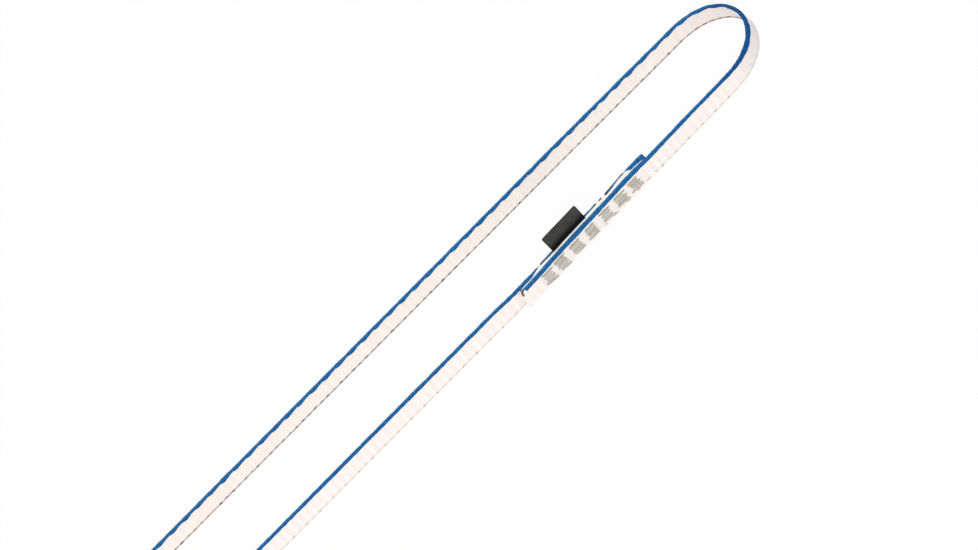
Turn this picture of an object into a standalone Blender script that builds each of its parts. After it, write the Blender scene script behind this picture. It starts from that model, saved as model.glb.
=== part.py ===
"""A sewn climbing sling: one flat woven tape, lapped and bar-tacked into a loop, standing on its edge.

Lengths are in metres. X runs along the loop, Y across it and Z up from the edge that it stands on.
The sewn lap is on the run at -Y. Its plies, threads and label are built in the lap's own frame:
x along the lap, y across it (negative on the outer, front side) and z up.
"""

import math

import bmesh
import bpy
from mathutils import Matrix, Vector

# Loop
FLAT_LENGTH = 0.600  # outside length of the loop, end to end
RUN_SPACING = 0.0426  # between the middles of the two runs
BEND_DEPTH = 0.0256  # how far the middle of a bend reaches past the straight runs

# Tape
TAPE_WIDTH = 0.011
TAPE_THICKNESS = 0.0016
EDGE_YARN_HEIGHT = 0.0011  # coloured yarns along the upper edge
EDGE_ROUNDING = 0.00035
FRONT_END_BARE = 0.002  # the coloured yarns stop this short of the front ply's cut end
CATCH_THREAD_BARE = 0.0006  # the catch thread stops this short of both cut ends
CATCH_THREAD_HEIGHT = 0.0006  # thread that binds the lower edge, on the inner face
CATCH_THREAD_THICKNESS = 0.00035
CATCH_THREAD_FOOT = 0.0003  # its height above the lower edge

# Sewn lap
TIP_TO_LAP = 0.077  # from the tip of the bend at +X to the back ply's cut end
FRONT_END_MARGIN = 0.014  # from the front ply's cut end to the first bar tack's middle
BACK_END_MARGIN = 0.0116  # from the last bar tack's middle to the back ply's cut end
EDGE_FLARE = 0.00035  # how far each ply's edges lean away from the other ply
FLARE_FADE = 0.008  # how far past the lap the lean dies out

# Bar tacks
TACK_COUNT = 7
TACK_PITCH = 0.00945
TACK_LENGTH = 0.007  # along the tape
TACK_FOOT = 0.0013  # height above the tape's lower edge
TACK_HEAD = 0.0003  # distance below the coloured yarns
TACK_BASE = 0.0003  # thickness under the thread rows
THREAD_ROWS = 12
ROW_RISE = 0.0002  # how far a thread row stands out of the tack's base
STITCH_COUNT = 3  # bundles of thread that pass through the tape at each end of a tack
STITCH_LENGTH = 0.0004  # along the tape
STITCH_HEIGHT = 0.0008
STITCH_INSET = 0.0005  # from the tack's end to the stitch's middle

# Label
LABEL_INSET = 0.023  # from the front ply's cut end to the label
LABEL_LENGTH = 0.0212
LABEL_HEIGHT = 0.0097  # from the tape's upper edge to the fold
LEAF_THICKNESS = 0.0002
LEAF_GAP = 0.0002
TAIL_FOOT = 0.003  # height of the sewn-in tail's lower edge
LABEL_LEAN = 0.0014  # how far the flap's fold leans in over the loop
HINGE_RISE = 0.0005  # height of the bending line above the tape's upper edge

# Clearances
SEAT_GAP = 0.0003  # between pieces that touch
CUT_OVERRUN = 0.001

# Divisions
BEND_STEPS = 20
RUN_STEPS = 4
LAP_STEPS = 12
TAPE_ROWS = 4
EDGE_SEGMENTS = 2
ROW_STEPS = 4
FOLD_STEPS = 6
LEAF_STEPS = 5
SHARP_ANGLE = math.radians(50)
WELD_DISTANCE = 0.000001

# What follows from the sizes above
HALF_SPACING = RUN_SPACING / 2
RUN_END = (FLAT_LENGTH - TAPE_THICKNESS) / 2 - BEND_DEPTH
GROUND_HEIGHT = TAPE_WIDTH - EDGE_YARN_HEIGHT - SEAT_GAP
TAIL_THICKNESS = 2 * LEAF_THICKNESS
PLY_GAP = TAIL_THICKNESS + 2 * SEAT_GAP
PLY_PITCH = TAPE_THICKNESS + PLY_GAP
LAP_LENGTH = FRONT_END_MARGIN + (TACK_COUNT - 1) * TACK_PITCH + BACK_END_MARGIN
LAP_MIDDLE = (FLAT_LENGTH - TAPE_THICKNESS) / 2 - TIP_TO_LAP - LAP_LENGTH / 2
LAP_ANGLE = math.atan2(PLY_PITCH, LAP_LENGTH)
PLY_FACE = PLY_PITCH / 2 + TAPE_THICKNESS / 2
TACK_FACE = PLY_FACE + SEAT_GAP
TACK_WIDTH = GROUND_HEIGHT - TACK_FOOT - TACK_HEAD


def clear_scene():
    for old in list(bpy.data.objects):
        bpy.data.objects.remove(old, do_unlink=True)


def new_collection(name):
    collection = bpy.data.collections.new(name)
    bpy.context.scene.collection.children.link(collection)
    return collection


def material(name, color, roughness):
    made = bpy.data.materials.new(name)
    made.use_nodes = True
    made.diffuse_color = (*color, 1)
    shader = made.node_tree.nodes["Principled BSDF"]
    shader.inputs["Base Color"].default_value = (*color, 1)
    shader.inputs["Roughness"].default_value = roughness
    shader.inputs["Metallic"].default_value = 0
    return made


def add_object(name, data, collection, finish=None, parent=None):
    made = bpy.data.objects.new(name, data)
    collection.objects.link(made)
    made.parent = parent
    if finish:
        data.materials.append(finish)
    return made


def add_empty(name, matrix, collection, parent=None):
    made = add_object(name, None, collection, parent=parent)
    made.empty_display_size = TAPE_WIDTH
    made.matrix_local = matrix
    return made


def freeze(made):
    """Replaces an object's data by the mesh that its modifiers, or its curve, give."""
    bpy.context.view_layer.update()
    graph = bpy.context.evaluated_depsgraph_get()
    mesh = bpy.data.meshes.new_from_object(made.evaluated_get(graph))
    mesh.name = made.name
    solid = add_object(made.name + "_solid", mesh, made.users_collection[0], parent=made.parent)
    name = made.name
    bpy.data.objects.remove(made, do_unlink=True)
    solid.name = name
    return solid


def reshape(mesh, move):
    for vertex in mesh.vertices:
        vertex.co = move(vertex.co)


def spaced(start, end, steps):
    return [start.lerp(end, step / steps) for step in range(steps + 1)]


def lap_frame():
    """The lap lies a little askew, so that each run leaves it along the loop's own line."""
    place = Matrix.Translation((LAP_MIDDLE, -HALF_SPACING, 0))
    return place @ Matrix.Rotation(LAP_ANGLE, 4, "Z")


def bend(side):
    """Points round the half ellipse at one end of the loop, from the -Y run to the +Y run for side 1."""
    points = []
    for step in range(BEND_STEPS + 1):
        turn = side * math.pi * (step / BEND_STEPS - 1 / 2)
        x = side * (RUN_END + BEND_DEPTH * math.cos(turn))
        points.append(Vector((x, HALF_SPACING * math.sin(turn), 0)))
    return points


def out_of_lap(start, end):
    """A straight stretch from the lap's end, with a point where the plies' lean has died out."""
    level = start + FLARE_FADE * (end - start).normalized()
    return [start] + spaced(level, end, RUN_STEPS)


def tape_route(front_bare=0, back_bare=0):
    """The middle of the tape, from the front ply's cut end once round the loop to the back ply's."""
    lap = lap_frame()
    half = LAP_LENGTH / 2
    ply = PLY_PITCH / 2
    front = spaced(lap @ Vector((front_bare - half, -ply, 0)), lap @ Vector((half, -ply, 0)), LAP_STEPS)
    back = spaced(lap @ Vector((-half, ply, 0)), lap @ Vector((half - back_bare, ply, 0)), LAP_STEPS)
    near_bend = bend(1)
    far_bend = bend(-1)
    route = front + out_of_lap(front[-1], near_bend[0])[1:-1] + near_bend
    route += spaced(near_bend[-1], far_bend[0], RUN_STEPS)[1:-1] + far_bend
    return route + out_of_lap(back[0], far_bend[-1])[-2:0:-1] + back


def beside(route, distance):
    """The route moved sideways, to its left, which is towards the inside of the loop."""
    moved = []
    for index, point in enumerate(route):
        before = route[max(index - 1, 0)]
        after = route[min(index + 1, len(route) - 1)]
        along = (after - before).normalized()
        moved.append(point + distance * Vector((-along.y, along.x, 0)))
    return moved


def ribbon(name, line, sweep, rows):
    """An open sheet: a line of points, extruded row by row along the sweep."""
    sheet = bmesh.new()
    points = [sheet.verts.new(point) for point in line]
    edges = [sheet.edges.new(pair) for pair in zip(points, points[1:])]
    for _ in range(rows):
        grown = bmesh.ops.extrude_edge_only(sheet, edges=edges)["geom"]
        rim = {item for item in grown if isinstance(item, bmesh.types.BMVert)}
        sides = [item for item in grown if isinstance(item, bmesh.types.BMEdge)]
        edges = [edge for edge in sides if rim.issuperset(edge.verts)]
        bmesh.ops.translate(sheet, verts=list(rim), vec=sweep / rows)
    mesh = bpy.data.meshes.new(name)
    sheet.to_mesh(mesh)
    sheet.free()
    return mesh


def thicken(made, thickness, rounding):
    shell = made.modifiers.new("thickness", "SOLIDIFY")
    shell.thickness = thickness
    shell.offset = 0
    shell.use_even_offset = True
    if rounding:
        edge = made.modifiers.new("rounded_edges", "BEVEL")
        edge.width = rounding
        edge.segments = EDGE_SEGMENTS
        edge.limit_method = "ANGLE"
        edge.angle_limit = SHARP_ANGLE


def tidy(mesh):
    """Welds the mesh, turns its faces outwards and shades its round parts smooth."""
    solid = bmesh.new()
    solid.from_mesh(mesh)
    bmesh.ops.remove_doubles(solid, verts=solid.verts, dist=WELD_DISTANCE)
    bmesh.ops.recalc_face_normals(solid, faces=solid.faces)
    solid.to_mesh(mesh)
    solid.free()
    mesh.shade_smooth()
    mesh.set_sharp_from_angle(angle=SHARP_ANGLE)


def flare(along, height):
    """How far a ply leans out at this place in the lap: most at its edges, nothing past the lap."""
    past = max(0, abs(along) - LAP_LENGTH / 2) / FLARE_FADE
    from_middle = 2 * height / TAPE_WIDTH - 1
    return EDGE_FLARE * from_middle**2 * max(0, 1 - past)


def lean_apart(point, parting=0):
    """Moves a point in the lap's frame outwards with its ply, on its own side of the parting."""
    side = -1 if point.y < parting else 1
    return Vector((point.x, point.y + side * flare(point.x, point.z), point.z))


def flare_tape(mesh, parting=0):
    """Leans the plies apart where a tape-long piece passes through the lap."""
    lap = lap_frame()
    out = lap.inverted()

    def move(point):
        local = out @ point
        if abs(local.y) > 2 * PLY_FACE:
            return point
        return lap @ lean_apart(local, parting)

    reshape(mesh, move)


def tape_piece(name, line, band, rows, collection, finish, parent):
    """The ground yarns or the edge yarns, which run the whole length of the tape between two heights."""
    foot, head = band
    base = [point + Vector((0, 0, foot)) for point in line]
    mesh = ribbon(name, base, Vector((0, 0, head - foot)), rows)
    made = add_object(name, mesh, collection, finish, parent)
    thicken(made, TAPE_THICKNESS, EDGE_ROUNDING)
    made = freeze(made)
    flare_tape(made.data)
    tidy(made.data)
    return made


def catch_thread(name, collection, finish, parent):
    """The thread that binds the tape's lower edge, on the face turned to the inside of the loop."""
    route = tape_route(CATCH_THREAD_BARE, CATCH_THREAD_BARE)
    line = beside(route, (TAPE_THICKNESS + CATCH_THREAD_THICKNESS) / 2 + SEAT_GAP)
    base = [point + Vector((0, 0, CATCH_THREAD_FOOT)) for point in line]
    mesh = ribbon(name, base, Vector((0, 0, CATCH_THREAD_HEIGHT)), 1)
    made = add_object(name, mesh, collection, finish, parent)
    thicken(made, CATCH_THREAD_THICKNESS, 0)
    made = freeze(made)
    flare_tape(made.data, PLY_PITCH / 4)
    tidy(made.data)
    return made


def tack_places():
    first = FRONT_END_MARGIN - LAP_LENGTH / 2
    return [first + index * TACK_PITCH for index in range(TACK_COUNT)]


def stitch_places(middle):
    """Where the bundles of thread pass through the plies: x and z, in the lap's frame."""
    reach = TACK_LENGTH / 2 - STITCH_INSET
    step = TACK_WIDTH / STITCH_COUNT
    heights = [TACK_FOOT + (row + 1 / 2) * step for row in range(STITCH_COUNT)]
    return [(middle + side * reach, height) for side in (-1, 1) for height in heights]


def boxes(name, places, size, across):
    """Boxes of one size at each x and z, whose middles lie this far across the lap."""
    blocks = bmesh.new()
    for x, z in places:
        matrix = Matrix.Translation((x, across, z)) @ Matrix.Diagonal((*size, 1))
        bmesh.ops.create_cube(blocks, size=1, matrix=matrix)
    mesh = bpy.data.meshes.new(name)
    blocks.to_mesh(mesh)
    blocks.free()
    return mesh


def needle_holes(collection, lap):
    size = (
        STITCH_LENGTH + 2 * SEAT_GAP,
        2 * (PLY_FACE + EDGE_FLARE + CUT_OVERRUN),
        STITCH_HEIGHT + 2 * SEAT_GAP,
    )
    places = [place for middle in tack_places() for place in stitch_places(middle)]
    holes = add_object("needle_holes", boxes("needle_holes", places, size, 0), collection, parent=lap)
    hide_helper(holes)
    return holes


def hide_helper(made):
    made.hide_render = True
    made.display_type = "WIRE"


def cut(made, cutter, operation="DIFFERENCE"):
    modifier = made.modifiers.new(cutter.name, "BOOLEAN")
    modifier.operation = operation
    modifier.object = cutter


def tack_outline():
    """The section of a bar tack, depth against height: flat on the tape, a ridge for each thread row."""
    head = TACK_FOOT + TACK_WIDTH
    row = TACK_WIDTH / THREAD_ROWS
    points = [(TACK_FACE, TACK_FOOT + step * row) for step in range(THREAD_ROWS + 1)]
    for step in range(THREAD_ROWS * ROW_STEPS + 1):
        rise = ROW_RISE * math.sin(math.pi * (step % ROW_STEPS) / ROW_STEPS)
        points.append((TACK_FACE + TACK_BASE + rise, head - step * row / ROW_STEPS))
    return points


def outline_curve(name, points, half_depth):
    curve = bpy.data.curves.new(name, "CURVE")
    curve.dimensions = "2D"
    curve.fill_mode = "BOTH"
    curve.extrude = half_depth
    spline = curve.splines.new("POLY")
    spline.points.add(len(points) - 1)
    for point, (x, y) in zip(spline.points, points):
        point.co = (x, y, 0, 1)
    spline.use_cyclic_u = True
    return curve


def tack_pad(name, middle, side, collection, finish, lap):
    """The thread that shows on one side of the lap; side is -1 on the front and 1 on the back."""
    pad = add_object(name, outline_curve(name, tack_outline(), TACK_LENGTH / 2), collection, None, lap)
    pad = freeze(pad)
    depth = Vector((0, side, 0))
    up = Vector((0, 0, 1))
    turned = Matrix((depth, up, depth.cross(up))).transposed()
    place = Vector((middle, 0, 0))
    reshape(pad.data, lambda point: lean_apart(turned @ point + place))
    tidy(pad.data)
    pad.data.materials.clear()
    pad.data.materials.append(finish)
    return pad


def stitches(name, middle, collection, lap):
    """The bundles of needle thread from inside the front pad to the back ply's face."""
    front = TACK_FACE + TACK_BASE / 2
    size = (STITCH_LENGTH, front + PLY_FACE, STITCH_HEIGHT)
    mesh = boxes(name, stitch_places(middle), size, (PLY_FACE - front) / 2)
    reshape(mesh, lean_apart)
    made = add_object(name, mesh, collection, parent=lap)
    hide_helper(made)
    return made


def bar_tack(number, middle, collection, helpers, finish, lap):
    needle = tack_pad(f"bar_tack_{number}_needle_thread", middle, -1, collection, finish, lap)
    cut(needle, stitches(f"bar_tack_{number}_stitches", middle, helpers, lap), "UNION")
    tack_pad(f"bar_tack_{number}_bobbin_thread", middle, 1, collection, finish, lap)


def label_tail(collection, finish, lap, holes):
    """The label's two ends, flat on each other between the plies."""
    middle = LABEL_INSET + (LABEL_LENGTH - LAP_LENGTH) / 2
    height = TAPE_WIDTH - TAIL_FOOT
    place = (middle, TAIL_FOOT + height / 2)
    size = (LABEL_LENGTH, TAIL_THICKNESS, height)
    mesh = boxes("label_sewn_tail", [place], size, 0)
    tail = add_object("label_sewn_tail", mesh, collection, finish, lap)
    cut(tail, holes)


def flap_section():
    """The flap's middle line, from its bending line: up one leaf, over the fold and down the other."""
    radius = (LEAF_GAP + LEAF_THICKNESS) / 2
    foot = SEAT_GAP - HINGE_RISE
    crown = LABEL_HEIGHT - HINGE_RISE - LEAF_THICKNESS / 2 - radius
    rise = [foot + (crown - foot) * step / LEAF_STEPS for step in range(LEAF_STEPS)]
    line = [(-radius, z) for z in rise]
    for step in range(FOLD_STEPS + 1):
        turn = math.pi * (1 - step / FOLD_STEPS)
        line.append((radius * math.cos(turn), crown + radius * math.sin(turn)))
    line += [(radius, z) for z in reversed(rise)]
    return [Vector((0, y + LABEL_LEAN * (z / LABEL_HEIGHT) ** 2, z)) for y, z in line]


def label_flap(collection, finish, lap):
    """The folded part that stands above the tape and bends about the line where it leaves the plies."""
    middle = LABEL_INSET + (LABEL_LENGTH - LAP_LENGTH) / 2
    place = Matrix.Translation((middle, 0, TAPE_WIDTH + HINGE_RISE))
    hinge = add_empty("label_hinge", place, collection, lap)
    half = Vector((LABEL_LENGTH / 2, 0, 0))
    line = [point - half for point in flap_section()]
    mesh = ribbon("label_flap", line, 2 * half, 1)
    flap = add_object("label_flap", mesh, collection, finish, hinge)
    thicken(flap, LEAF_THICKNESS, 0)
    flap = freeze(flap)
    tidy(flap.data)


def front_reach():
    """How far the lowest thread row of the first bar tack stands out towards -Y."""
    along = tack_places()[0] - TACK_LENGTH / 2
    height = TACK_FOOT + TACK_WIDTH / THREAD_ROWS / 2
    row = Vector((along, -TACK_FACE - TACK_BASE - ROW_RISE, height))
    return -(lap_frame() @ lean_apart(row)).y


def build():
    clear_scene()
    parts = new_collection("climbing_sling")
    helpers = new_collection("cutters")
    tape_white = material("tape_white", (0.86, 0.82, 0.77), 0.7)
    edge_blue = material("edge_blue", (0.012, 0.105, 0.36), 0.6)
    catch_grey = material("catch_grey", (0.38, 0.34, 0.30), 0.75)
    thread_grey = material("thread_grey", (0.50, 0.48, 0.41), 0.6)
    label_black = material("label_black", (0.02, 0.02, 0.02), 0.7)
    label_white = material("label_white", (0.80, 0.79, 0.76), 0.7)

    half_width = HALF_SPACING + TAPE_THICKNESS / 2
    centre = Matrix.Translation((0, (front_reach() - half_width) / 2, 0))
    loop = add_empty("loop_centre", centre, parts)
    lap = add_empty("sewn_lap", lap_frame(), parts, loop)
    holes = needle_holes(helpers, lap)

    ground_band = (0, GROUND_HEIGHT)
    ground = tape_piece("webbing_ground", tape_route(), ground_band, TAPE_ROWS, parts, tape_white, loop)
    cut(ground, holes)
    edge_band = (TAPE_WIDTH - EDGE_YARN_HEIGHT, TAPE_WIDTH)
    tape_piece("blue_edge_yarns", tape_route(FRONT_END_BARE), edge_band, 1, parts, edge_blue, loop)
    catch_thread("lower_edge_catch_thread", parts, catch_grey, loop)

    for number, middle in enumerate(tack_places(), start=1):
        bar_tack(number, middle, parts, helpers, thread_grey, lap)
    label_tail(parts, label_white, lap, holes)
    label_flap(parts, label_black, lap)


build()
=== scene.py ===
# %% [markdown]
# # A sewn climbing sling
# This sling is one length of narrow woven tape. Its two ends lie over each other for the length of
# a hand's width and are sewn together, and a small folded label is caught between them. The CAD
# frame already holds every piece at its true place. This lesson gives each piece its real surface:
# woven tape, wrapped blue edge, dark foot thread, melted cut ends, stitches and label.
#
# All the work is done in metres, in the frame of the CAD model. A piece that lies on the tape is
# modelled flat first, as on a work bench, and then laid along the tape's line.

# %% Load the frame
from math import atan2, cos, pi, radians, sin

import bpy
import numpy as np
from mathutils import Matrix, Vector


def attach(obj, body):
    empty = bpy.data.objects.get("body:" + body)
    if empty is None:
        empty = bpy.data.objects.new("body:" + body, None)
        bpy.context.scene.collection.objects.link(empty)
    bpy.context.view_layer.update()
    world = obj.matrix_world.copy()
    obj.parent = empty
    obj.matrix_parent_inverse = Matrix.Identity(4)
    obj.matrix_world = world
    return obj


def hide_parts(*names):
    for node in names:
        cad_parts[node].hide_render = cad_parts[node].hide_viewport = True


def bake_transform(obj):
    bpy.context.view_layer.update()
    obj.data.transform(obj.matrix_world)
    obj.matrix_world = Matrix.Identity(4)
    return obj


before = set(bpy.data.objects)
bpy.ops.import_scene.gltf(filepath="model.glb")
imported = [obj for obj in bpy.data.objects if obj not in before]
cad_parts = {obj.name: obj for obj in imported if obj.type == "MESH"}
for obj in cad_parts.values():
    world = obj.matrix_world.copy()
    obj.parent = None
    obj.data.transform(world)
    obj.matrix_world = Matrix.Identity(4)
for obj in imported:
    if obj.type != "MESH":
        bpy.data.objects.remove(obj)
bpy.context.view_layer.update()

# %% [markdown]
# ## The camera
# The photograph was taken from a good way off, so its lines hardly converge: a long lens does that.
# The camera looks down at about 51 degrees, nearly square to the runs, and is rolled until they
# climb to the upper right. It is built from its three axes, because then each number means
# something that can be measured in the picture.

# %% Camera
LENS = 150
SENSOR = 36
CAMERA_TURN = radians(2)
CAMERA_TILT = radians(51.029)
CAMERA_ROLL = radians(-43.740)
CAMERA_AWAY = 1.83358
CAMERA_TARGET = Vector((0.136025, 0.0013417, 0.005))

forward = Vector((sin(CAMERA_TURN) * cos(CAMERA_TILT), cos(CAMERA_TURN) * cos(CAMERA_TILT),
                  -sin(CAMERA_TILT)))
level = Vector((cos(CAMERA_TURN), -sin(CAMERA_TURN), 0))
roll = Matrix.Rotation(CAMERA_ROLL, 3, -forward)
right, up = roll @ level, roll @ level.cross(forward)
axes = Matrix((right, up, -forward)).transposed().to_4x4()
bpy.ops.object.camera_add()
camera = bpy.context.object
camera.name = "camera"
camera.data.lens, camera.data.sensor_width = LENS, SENSOR
camera.matrix_world = Matrix.Translation(CAMERA_TARGET - forward * CAMERA_AWAY) @ axes
bpy.context.scene.camera = camera
print("camera at, m:", [round(value, 3) for value in camera.matrix_world.translation])

# %% [markdown]
# ## The line of the tape
# A tape is a flat cord: what makes it look real is that it keeps its length and bends in one smooth
# line. The line here starts at the cut end on the outside of the lap, goes round the loop, and
# ends at the cut end inside the lap. The stitches, the blue edge and the foot thread all have to
# follow it, so it is kept as a table and not as a curve object: for any distance along the tape it
# gives the point and the direction that faces out of the loop. A long tape never lies quite
# straight, so both runs sway a little, by tables of their own.

# %% Reading tables
def ease(share):
    """A smooth step from 0 to 1."""
    share = np.clip(share, 0, 1)
    return share * share * (3 - 2 * share)


def read(table, at):
    """The value at a place in rows of (place, value), straight between the rows."""
    return np.interp(at, *zip(*table))


def reached(points):
    """How far along a chain of points each of them lies."""
    return np.concatenate(([0], np.cumsum(np.linalg.norm(np.diff(points, axis=0), axis=1))))


print("a quarter of the way into an eased step:", ease(0.25))

# %% Sizes of the tape and its lap
TAPE_WIDTH = 0.011
TAPE_THICKNESS = 0.0016
HALF_SPACING = 0.0213
BEND_DEPTH = 0.0256
RUN_END = 0.2736
LAP_MIDDLE = 0.18105
LAP_LENGTH = 0.0823
MELTED_LIP = 0.0014
PLY_PITCH = 0.0026
LOOP_SHIFT = 0.00162
LAP_TURN = atan2(PLY_PITCH, LAP_LENGTH)

lap = Matrix.Translation((LAP_MIDDLE, LOOP_SHIFT - HALF_SPACING, 0)) @ Matrix.Rotation(LAP_TURN, 4, "Z")
print("the lap turns by", round(LAP_TURN * 180 / pi, 2), "degrees")

# %% Bends and sway
BEND_STEPS = 96
NEAR_SWAY = [(-0.27, 0.0), (-0.0165, -0.00036), (0.06, -0.0005), (0.13, -0.0008), (0.2, -0.0007),
             (0.238, -0.0005), (0.265, -0.0002), (0.28, 0.0)]
FAR_SWAY = [(-0.27, 0.0), (-0.0165, 0.0), (0.05, -0.00014), (0.15, -0.0005), (0.2, -0.0006),
            (0.225, -0.0008), (0.265, -0.00115), (0.28, -0.0011), (0.2985, 0.0)]


def bend(side):
    """The half turn at one end of the loop."""
    turns = [side * pi * (step / BEND_STEPS - 0.5) for step in range(BEND_STEPS + 1)]
    return [Vector((side * (RUN_END + BEND_DEPTH * cos(turn)), LOOP_SHIFT + HALF_SPACING * sin(turn), 0))
            for turn in turns]


def sway(x, y):
    """How far a place strays sideways."""
    far = ease((y + HALF_SPACING) / (2 * HALF_SPACING))
    return (1 - far) * read(NEAR_SWAY, x) + far * read(FAR_SWAY, x)


print("sway in the middle of the far run, mm:", round(float(sway(0, HALF_SPACING)) * 1000, 3))

# %% Points of the line
LINE_STEP = 0.0004
SOFTEN_OVER = 0.004
SOFTEN_SHARES = np.linspace(-1, 1, 9)

half, ply = LAP_LENGTH / 2, PLY_PITCH / 2
corners = [lap @ Vector((-half - MELTED_LIP, -ply, 0)), lap @ Vector((half, -ply, 0)), *bend(1),
           *bend(-1), lap @ Vector((-half, ply, 0)), lap @ Vector((half, ply, 0))]
points = np.array([corner[:2] for corner in corners])
passed = reached(points)
TAPE_LENGTH = float(passed[-1])
FRONT_LAP = MELTED_LIP
BACK_LAP = TAPE_LENGTH - LAP_LENGTH
line_at = np.linspace(0, TAPE_LENGTH, round(TAPE_LENGTH / LINE_STEP) + 1)
softened = np.minimum(SOFTEN_OVER, np.minimum(line_at, TAPE_LENGTH - line_at))
line = np.zeros((len(line_at), 2))
for share in SOFTEN_SHARES:
    near = line_at + share * softened
    line += np.column_stack([np.interp(near, passed, points[:, axis]) for axis in (0, 1)])
line /= len(SOFTEN_SHARES)
line[:, 1] += sway(line[:, 0], line[:, 1])
heading = np.gradient(line, axis=0)
heading /= np.linalg.norm(heading, axis=1)[:, None]
facing_out = np.column_stack((heading[:, 1], -heading[:, 0]))


def on_line(along, values=line):
    """The point of the line at a distance along the tape, or what else is kept for it."""
    return [np.interp(along, line_at, values[:, axis]) for axis in (0, 1)]


print("tape from cut end to cut end, m:", round(TAPE_LENGTH, 4), "in", len(line), "points")

# %% [markdown]
# ## The weave's repeat
# Along the tape the same things come back every eight millimetres or so: the blue edge dips into
# the inner face, a dark knot shows at the foot, and the faces are drawn in across the tape. On a
# ribbon loom that is one repeat of the pattern. A real loom never keeps the repeat perfectly even,
# so the count of repeats is a table too, read where the knots lie.

# %% Count of repeats
REPEAT_MARKS = [(0.0, -0.47), (0.0804, 9.237), (0.1212, 14.02), (0.1351, 15.66), (0.2089, 23.99),
                (0.23976, 27.69), (0.24788, 28.69), (0.25598, 29.69), (0.26051, 30.69),
                (0.26897, 31.69), (0.27709, 32.69), (0.31455, 37.185), (0.35548, 42.17),
                (0.4, 47.588), (0.7561, 91.17), (0.8299, 100.01), (1.3257, 159.89)]
REPEAT = 0.0082
ALL_COUNTS = (-2, 163)


def repeats(along):
    """How many repeats of the weave lie before a distance along the tape."""
    return read(REPEAT_MARKS, along)


def where_repeat(count):
    """The distance along the tape at which a count of repeats is reached."""
    return read([(counted, at) for at, counted in REPEAT_MARKS], count)


def in_step(along):
    """A distance along the flat map, where every repeat has the same length."""
    return repeats(along) * REPEAT


print("repeats in the tape:", round(float(repeats(TAPE_LENGTH) - repeats(0)), 1))

# %% [markdown]
# ## The outline of the tape
# Cut across, the tape is a flat bar with soft edges. A point on its skin is given by its girth: how
# far round the outline it lies from the middle of the top edge, towards the outer face if positive
# and towards the inner face if negative. With the distance along the tape, that makes a flat map of
# the whole skin, and every pattern and stitch can be placed on it in real millimetres.

# %% Outline across the tape
EDGE_RADIUS = 0.00055
EDGE_TURNS = np.linspace(0, pi / 2, 12)

out, top = TAPE_THICKNESS / 2 - EDGE_RADIUS, TAPE_WIDTH - EDGE_RADIUS
# each row: how far out and how high, and how far the skin there faces out and up
outline = [(0, TAPE_WIDTH, 0, 1)]
outline += [(out + EDGE_RADIUS * sin(turn), top + EDGE_RADIUS * cos(turn), sin(turn), cos(turn))
            for turn in EDGE_TURNS]
outline += [(out + EDGE_RADIUS * cos(turn), EDGE_RADIUS - EDGE_RADIUS * sin(turn),
             cos(turn), -sin(turn)) for turn in EDGE_TURNS]
outline = np.array([*outline, (0, 0, 0, -1)])
outline_at = reached(outline[:, :2])
HALF_GIRTH = float(outline_at[-1])
FACE_TOP = float(np.interp(-top, -outline[:, 1], outline_at))


def girth_at(height):
    """The girth of a point on the face at a height above the foot."""
    return FACE_TOP + (TAPE_WIDTH - EDGE_RADIUS - height)


print("half the tape's girth, mm:", round(HALF_GIRTH * 1000, 2))

# %% [markdown]
# ## How the two plies meet
# Where the tape is doubled and sewn, its plies touch along the middle and their edges stand a
# little apart. The inner ply leans back at the top, most of all at its cut end, and its outer side
# is puffed out until only a hair is left between the plies. The lap's top also leans a little in or
# out along its length. The foot flares out of the loop on the near run and round the bend, and a
# touch inwards on the far run. All of these are small pushes that depend on the place and on the
# height, so each is a table and a fade, and the lap's own pushes die away past its ends.

# %% Pushes at the lap
EDGE_APART = 0.00035
MIDDLE_CLOSE = 0.0004
PAST_LAP = 0.008
TOP_GAPS = [(0.0016, 0.0015), (0.0099, 0.0011), (0.0172, 0.0009), (0.0575, 0.0012),
            (0.0665, 0.0013), (0.0753, 0.0015), (0.0815, 0.0018)]
TOP_GAP_UNPUSHED = PLY_PITCH - TAPE_THICKNESS + 2 * EDGE_APART
TOP_POWER = 5
GAP_LEFT = 0.00015
PUFF_FADE = 0.0009
FLARE = [(-0.018, 0.00105), (0.004, 0.00115), (0.017, -0.0003)]
LEANS = [(0.125, 0.0), (0.138, -0.0006), (0.1498, -0.0004), (0.157, 0.0), (0.165, 0.0002),
         (0.172, 0.0004), (0.2, 0.0004), (0.209, 0.0007), (0.2153, 0.0005), (0.2212, 0.0001),
         (0.23, -0.0003), (0.245, 0.0)]


def in_lap(along):
    """For both plies: 1 in the lap, fading to 0 past it."""
    return ease(1 - (along - FRONT_LAP - LAP_LENGTH) / PAST_LAP), ease(1 - (BACK_LAP - along) / PAST_LAP)


def near_top(height):
    """1 at the top of the tape, soon falling to 0 below it."""
    return np.clip(height / TAPE_WIDTH, 0, 1) ** TOP_POWER


def flare(y, height):
    """How far the foot stands out of the loop at a place across it."""
    return read(FLARE, y) * (1 - height / TAPE_WIDTH)


def lean(x, y, height):
    """How far the lap's top leans into the loop."""
    return read(LEANS, x) * (y < 0) * height / TAPE_WIDTH


print("the lap's top leans at most, mm:", max(amount for _, amount in LEANS) * 1000)

# %% Adding the pushes up
def push(along, height):
    """How far the tape is pushed out of the loop at a place on it."""
    front, back = in_lap(along)
    edge = (2 * height / TAPE_WIDTH - 1) ** 2
    parted = EDGE_APART * edge - MIDDLE_CLOSE * (1 - edge * edge)
    leant = (TOP_GAP_UNPUSHED - read(TOP_GAPS, along - BACK_LAP)) * near_top(height)
    x, y = on_line(along)
    return flare(y, height) - lean(x, y, height) + front * parted + back * (leant - parted)


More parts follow.
